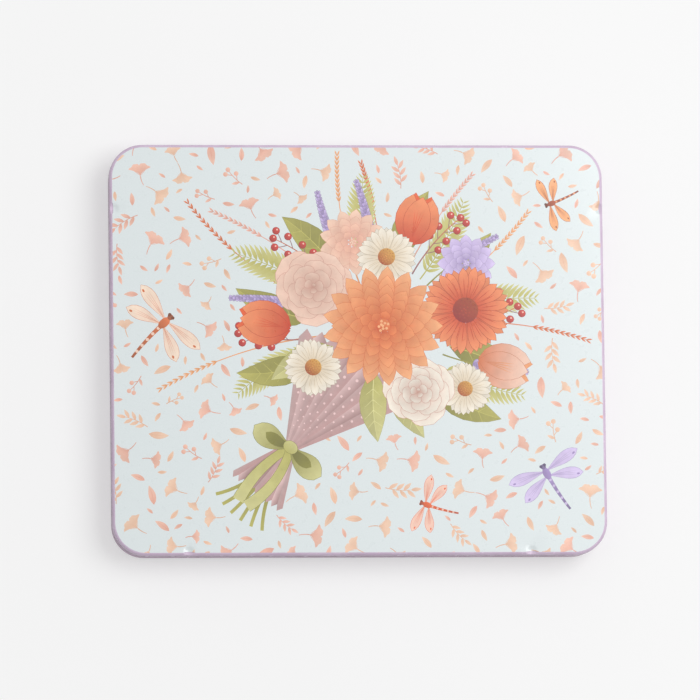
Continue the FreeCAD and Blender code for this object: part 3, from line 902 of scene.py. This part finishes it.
# Each kind of motif with its length and how often a place is tried for it, from large to small
MOTIFS = (
    (fan_leaf, 10.0, 160),
    (sprig, 13.0, 260),
    (berry_twig, 11.0, 300),
    (fan_leaf, 7.5, 200),
    (small_leaf, 9.0, 700),
    (small_leaf, 6.5, 1500),
    (small_leaf, 4.2, 2500),
)
DRAGONFLIES = (
    ((-87.0, 12.0), 42.0, 38.0, (RUST, PEACH)),
    ((84.0, -56.0), 118.0, 34.0, (DEEP_LILAC, LILAC)),
    ((30.0, -70.0), 160.0, 26.0, (FLAME, BLUSH)),
    ((88.0, 66.0), 200.0, 24.0, (DEEP_RUST, AMBER)),
)


def scatter(art, kept_clear):
    """A loose, even scatter of small motifs that keep off each other and off the points kept clear."""
    draw = random.Random(SCATTER_SEED)
    front = KDTree(len(kept_clear))
    for number, point in enumerate(kept_clear):
        front.insert((*point, 0), number)
    front.balance()
    taken = []
    for motif, length, tries in MOTIFS:
        for _ in range(tries):
            middle = np.array([draw.uniform(-half, half) for half in LID_HALF])
            size = length * draw.uniform(0.85, 1.15)
            angle = draw.uniform(0, 360)
            dark, light = draw.choice(SCATTER_SHADES)
            tone = draw.uniform(0.98, 1.02)
            reach = 0.5 * size + SCATTER_GAP
            _, _, distance = front.find((*middle, 0))
            if distance < reach:
                continue
            if all(np.linalg.norm(middle - other) > reach + clear for other, clear in taken):
                taken.append((middle, 0.5 * size))
                motif(art, middle, angle, size, (shade(dark, tone), shade(light, tone)))


# The printed skin

SKIN_PROUD = 0.02
SKIN_SUNK = 0.06
SKIN_HALF = LID_HALF - FOLD_RADIUS
SKIN_CORNER = LID_CORNER - FOLD_RADIUS
SKIN_SPACING = 0.4
DENT_REACH = 2.9
DENT_STEPS = 24
DENT_RINGS = 9
DENT_MARGIN = 0.1
PRINT_DIP = 0.64
EDGE_DRAW = 0.5
UV_MAP = "OFBake"
UV_STRIP = 0.03
UV_UNDERSIDE = 0.024


def dent_share(points, dent):
    """How far points are from a dent's middle, from 0 there to 1 at its edge and beyond."""
    return np.minimum(np.linalg.norm(points - dent, axis=1) / DENT_REACH, 1)


def pressed(points):
    """The height of the metal at the lid's upper side, dents included."""
    height = np.full(len(points), LID_TOP)
    for dent, _ in DENTS:
        off = np.minimum(np.sum((points - dent) ** 2, axis=1), DENT_RADIUS**2)
        height = np.minimum(height, DENT_CENTRE_Z - np.sqrt(DENT_RADIUS**2 - off))
    return height


def softened(points):
    """The height of the print over the metal, with a soft hollow that bridges each dent a little."""
    height = np.full(len(points), LID_TOP)
    for dent, _ in DENTS:
        height -= PRINT_DIP * (1 + np.cos(math.pi * dent_share(points, dent))) / 2
    return height


def print_edge():
    """The outline of the print, drawn in a little at each dent."""
    edge = rounded(SKIN_HALF, SKIN_CORNER, SKIN_SPACING)
    for dent, outward in DENTS:
        edge = edge - (EDGE_DRAW * (1 - dent_share(edge, dent) ** 2))[:, None] * outward
    return edge


def dent_points():
    """Points that round out each dent, inside the print's edge."""
    rings = [
        dent + at_angle(360 * (step + 0.5 * (ring % 2)) / DENT_STEPS, DENT_REACH * ring / DENT_RINGS)
        for dent, _ in DENTS
        for ring in range(1, DENT_RINGS + 1)
        for step in range(DENT_STEPS)
    ]
    points = np.array(rings)
    return points[within(points, SKIN_HALF, SKIN_CORNER, EDGE_DRAW + DENT_MARGIN)]


def lid_print():
    """A thin closed skin over the lid's flat top, cut along the picture's lines and coloured by them."""
    art = Picture()
    art.flat(print_edge(), ICE)
    front = Picture()
    for place, angle, span, colours in DRAGONFLIES:
        dragonfly(front, place, angle, span, colours)
    bouquet(front)
    scatter(art, np.vstack(front.outlines))
    art.outlines += front.outlines
    art.washes += front.washes

    starts = np.cumsum([0] + [len(outline) for outline in art.outlines])
    shapes = [list(range(first, last)) for first, last in zip(starts, starts[1:])]
    dents = dent_points()
    points = [Vector(point) for point in np.vstack([*art.outlines, dents])]
    places, _, triangles, _, _, covers = delaunay_2d_cdt(points, [], shapes, INSIDE_ONLY, JOIN)
    printed = [(triangle, max(cover)) for triangle, cover in zip(triangles, covers) if 0 in cover]
    tops, top_shapes = (np.array(each) for each in zip(*printed))

    used, tops = np.unique(tops, return_inverse=True)
    tops = tops.reshape(-1, 3)
    flat = np.array(places)[used]
    rim = rim_of(tops.tolist())
    under = np.vstack([flat[rim], dents])
    first_under = len(flat)
    undersides = [[first_under + corner for corner in t[::-1]] for t in filled(flat[rim], dents)]
    ring = range(len(rim))
    sides = [[rim[k], rim[k - 1], first_under + (k - 1) % len(rim), first_under + k] for k in ring]
    upper = np.column_stack([flat, softened(flat) + SKIN_PROUD])
    lower = np.column_stack([under, pressed(under) - SKIN_SUNK])
    faces = tops.tolist() + undersides + sides
    skin = mesh_piece("lid_print_skin", np.vstack([upper, lower]), faces, print_finish(), "lid")

    start, end, start_colour, end_colour = (np.array(each) for each in zip(*art.washes))
    corners = flat[tops] - start[top_shapes][:, None]
    run = (end - start)[top_shapes][:, None]
    share = np.clip(np.sum(corners * run, axis=2) / np.sum(run * run, axis=2), 0, 1)[..., None]
    tint = (end_colour - start_colour)[top_shapes][:, None]
    inks = np.tile([*linear(ICE), 0.0], (len(skin.data.loops), 1))
    inks[: tops.size, 3] = np.repeat(top_shapes > 0, 3)
    inks[: tops.size, :3] = (start_colour[top_shapes][:, None] + share * tint).reshape(-1, 3)
    layer = skin.data.color_attributes.new(INK, "FLOAT_COLOR", "CORNER")
    layer.data.foreach_set("color", inks.ravel())
    lay_out(skin.data, tops.size)
    return skin


def lay_out(mesh, top_corners):
    """A map of the skin from above, with its underside pressed into a strip below its top."""
    corner_vertices = np.empty(len(mesh.loops), np.int32)
    mesh.loops.foreach_get("vertex_index", corner_vertices)
    places = np.array([vertex.co[:2] for vertex in mesh.vertices])[corner_vertices] / MM
    shares = (places / SKIN_HALF + 1) / 2
    shares[:top_corners, 1] = UV_STRIP + (1 - UV_STRIP) * shares[:top_corners, 1]
    shares[top_corners:, 1] *= UV_UNDERSIDE
    layer = mesh.uv_layers.new(name=UV_MAP)
    layer.uv.foreach_set("vector", shares.astype(np.float32).ravel())


# The foam pad inside the lid

PAD_EDGE = 1.2
PAD_EDGE_STEPS = 5
PAD_EDGE_INSET = 0.2
# How far the cut sides draw in, each at a depth below the glued side
PAD_SIDES = ((0.0, 0.0), (0.25, 0.9), (0.35, 1.8))
PAD_CROWN = 0.3
PAD_MARK = 0.22
PAD_MARK_WIDTH = 1.7
PAD_SPACING = 2.0
PAD_COLUMN = PENCIL_PITCH / 8
PAD_ROW = 4.0
PAD_MARGIN = 0.8


def pad_underside(points):
    """The height of the pad's lower side: a low crown, with a faint mark over each pencil."""
    spread = np.max(np.abs(points) / PAD_HALF, axis=1)
    crown = PAD_CROWN * spread**6
    beside = (points[:, 0] / PENCIL_PITCH) % 1 - 0.5
    mark = PAD_MARK * np.exp(-((beside * PENCIL_PITCH / PAD_MARK_WIDTH) ** 2))
    in_row = np.abs(points[:, 0]) < PENCIL_COUNT / 2 * PENCIL_PITCH
    return PAD_LOW[2] + crown + mark * in_row * (1 - spread**8)


def foam_pad():
    """Die-cut foam with soft lower edges, glued under the lid's top."""
    levels = [(inset, PAD_HIGH[2] - depth) for inset, depth in PAD_SIDES]
    for step in range(PAD_EDGE_STEPS + 1):
        angle = math.radians(90 * step / PAD_EDGE_STEPS)
        inset = PAD_EDGE_INSET + PAD_EDGE * (1 - math.cos(angle))
        levels.append((inset, PAD_LOW[2] + PAD_CROWN + PAD_EDGE * (1 - math.sin(angle))))
    outlines = [rounded(PAD_HALF - inset, PAD_CORNER - inset, PAD_SPACING, 8) for inset, _ in levels]
    heights = [np.full(len(outlines[0]), height) for _, height in levels]
    heights[-1] = pad_underside(outlines[-1])
    columns = np.arange(-PAD_HALF[0], PAD_HALF[0], PAD_COLUMN)
    rows = np.arange(-PAD_HALF[1], PAD_HALF[1], PAD_ROW)
    grid = np.array([(x, y) for x in columns for y in rows])
    grid = grid[within(grid, PAD_HALF, PAD_CORNER, PAD_EDGE + PAD_MARGIN)]
    count = len(outlines[0])
    vertices = [np.column_stack([outline, height]) for outline, height in zip(outlines, heights)]
    vertices.append(np.column_stack([grid, pad_underside(grid)]))
    faces = filled(outlines[0], [])
    for level in range(len(levels) - 1):
        upper, lower = level * count, (level + 1) * count
        for here in range(count):
            before = (here - 1) % count
            faces.append([upper + before, lower + before, lower + here, upper + here])
    last = (len(levels) - 1) * count
    faces += [[last + corner for corner in triangle[::-1]] for triangle in filled(outlines[-1], grid)]
    pad = mesh_piece("foam_pad", np.vstack(vertices), faces, foam_finish(), "lid")
    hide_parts("lid_foam_pad")
    return pad


# Dressing the pieces


def dress_tin():
    """Gives every CAD piece its finish."""
    colours = {m["slot"]: np.array(m["base_color"]) * 255 for m in frame["record"]["materials"]}
    slots = {piece["node"]: piece["material_slot"] for piece in frame["record"]["subparts"]}
    dress("lid_tin", tin_finish("lid_enamel", LID_LAVENDERS, LID_MIDDLE, SKIRT_BOTTOM))
    # The base's pinker, darker lavender is painted shade
    dress("base_tin", tin_finish("base_enamel", SHADED_BASE_LAVENDERS, BASE_MIDDLE))
    dress("pencil_tray", tray_finish())
    steel = steel_finish()
    for node in ("hinge_pin_left", "hinge_pin_right"):
        dress(node, steel)
    for node, slot in slots.items():
        if node.endswith("_barrel"):
            dress(node, barrel_finish(slot, colours[slot]))
        elif node.endswith("_core"):
            dress(node, core_finish(slot, colours[slot]))


# Studio

EYE = Vector((-0.3912, -0.5000, 4.004))
AIM = Vector((-0.00377, -0.00025, 0.016))
ROLL = -0.722
LENS = 464.4
PALE = 0.94
FLOOR_SIZE = 12.0
FLOOR_TONES = (0.945, 0.955)
FLOOR_GLOW = 0.5
# The floor's glow is least up to the first distance from the tin's middle, and full from the second
GLOW_START = 0.13
GLOW_FULL = 0.40
SOFTBOX_PLACE = Vector((0.83, 0.27, 1.34))
SOFTBOX_SIZE = 1.16
SOFTBOX_WATTS = 16.0
SKY_HORIZON = 0.30
SKY_SLOPE = (-0.08, 0.14, 0.30)


def camera():
    """The photograph's view: nearly straight down, from a long way off."""
    lens = bpy.data.cameras.new("camera")
    lens.lens = LENS
    made = added("camera", lens)
    forward = (AIM - EYE).normalized()
    right = forward.cross(Vector((0, 1, 0))).normalized()
    up = right.cross(forward)
    turn = Matrix.Rotation(math.radians(ROLL), 3, -forward)
    axes = Matrix((turn @ right, turn @ up, -forward)).transposed()
    made.matrix_world = Matrix.Translation(EYE) @ axes.to_4x4()
    bpy.context.scene.camera = made


def softbox():
    """A soft lamp at the upper right."""
    lamp = bpy.data.lights.new("softbox", "AREA")
    lamp.size = SOFTBOX_SIZE
    lamp.energy = SOFTBOX_WATTS
    made = added("softbox", lamp)
    made.location = SOFTBOX_PLACE
    made.rotation_euler = SOFTBOX_PLACE.to_track_quat("Z", "Y").to_euler()


def sky():
    """Fill light, brightest above and behind, which the camera sees as a pale backdrop."""
    world = bpy.data.worlds.new("sky")
    bpy.context.scene.world = world
    light = Nodes(world)
    direction = light.node("ShaderNodeTexCoord").outputs["Generated"]
    slope = light.vector("DOT_PRODUCT", direction, SKY_SLOPE, "Value")
    strength = light.math("ADD", slope, SKY_HORIZON)
    fill = light.node("ShaderNodeBackground", WHITE, strength).outputs[0]
    backdrop = light.node("ShaderNodeBackground", WHITE, PALE).outputs[0]
    seen = light.node("ShaderNodeLightPath").outputs["Is Camera Ray"]
    light.shown(seen, fill, backdrop)


def floor():
    """A plain pale floor that takes the tin's shadow and runs into the backdrop far from it."""
    half = FLOOR_SIZE / 2
    mesh = bpy.data.meshes.new("floor")
    corners = [(-half, -half, 0), (half, -half, 0), (half, half, 0), (-half, half, 0)]
    mesh.from_pydata(corners, [], [range(len(corners))])
    finish = Finish("floor", Roughness=0.9, Specular_IOR_Level=0.1)
    tone = finish.span(finish.noise(8, 2), 0.3, 0.7, *FLOOR_TONES)
    finish.set(Base_Color=finish.grey(tone))
    distance = finish.vector("LENGTH", finish.place, result="Value")
    away = finish.span(distance, GLOW_START, GLOW_FULL, FLOOR_GLOW, 1.0)
    seen = finish.node("ShaderNodeLightPath").outputs["Is Camera Ray"]
    glow = finish.node("ShaderNodeEmission", WHITE, PALE).outputs[0]
    finish.shown(finish.math("MULTIPLY", away, seen), finish.shader.outputs[0], glow)
    mesh.materials.append(finish.material)
    made = added("floor", mesh)


dress_tin()
lid_print()
foam_pad()
floor()
sky()
softbox()
camera()
bpy.context.scene.view_settings.view_transform = "Standard"
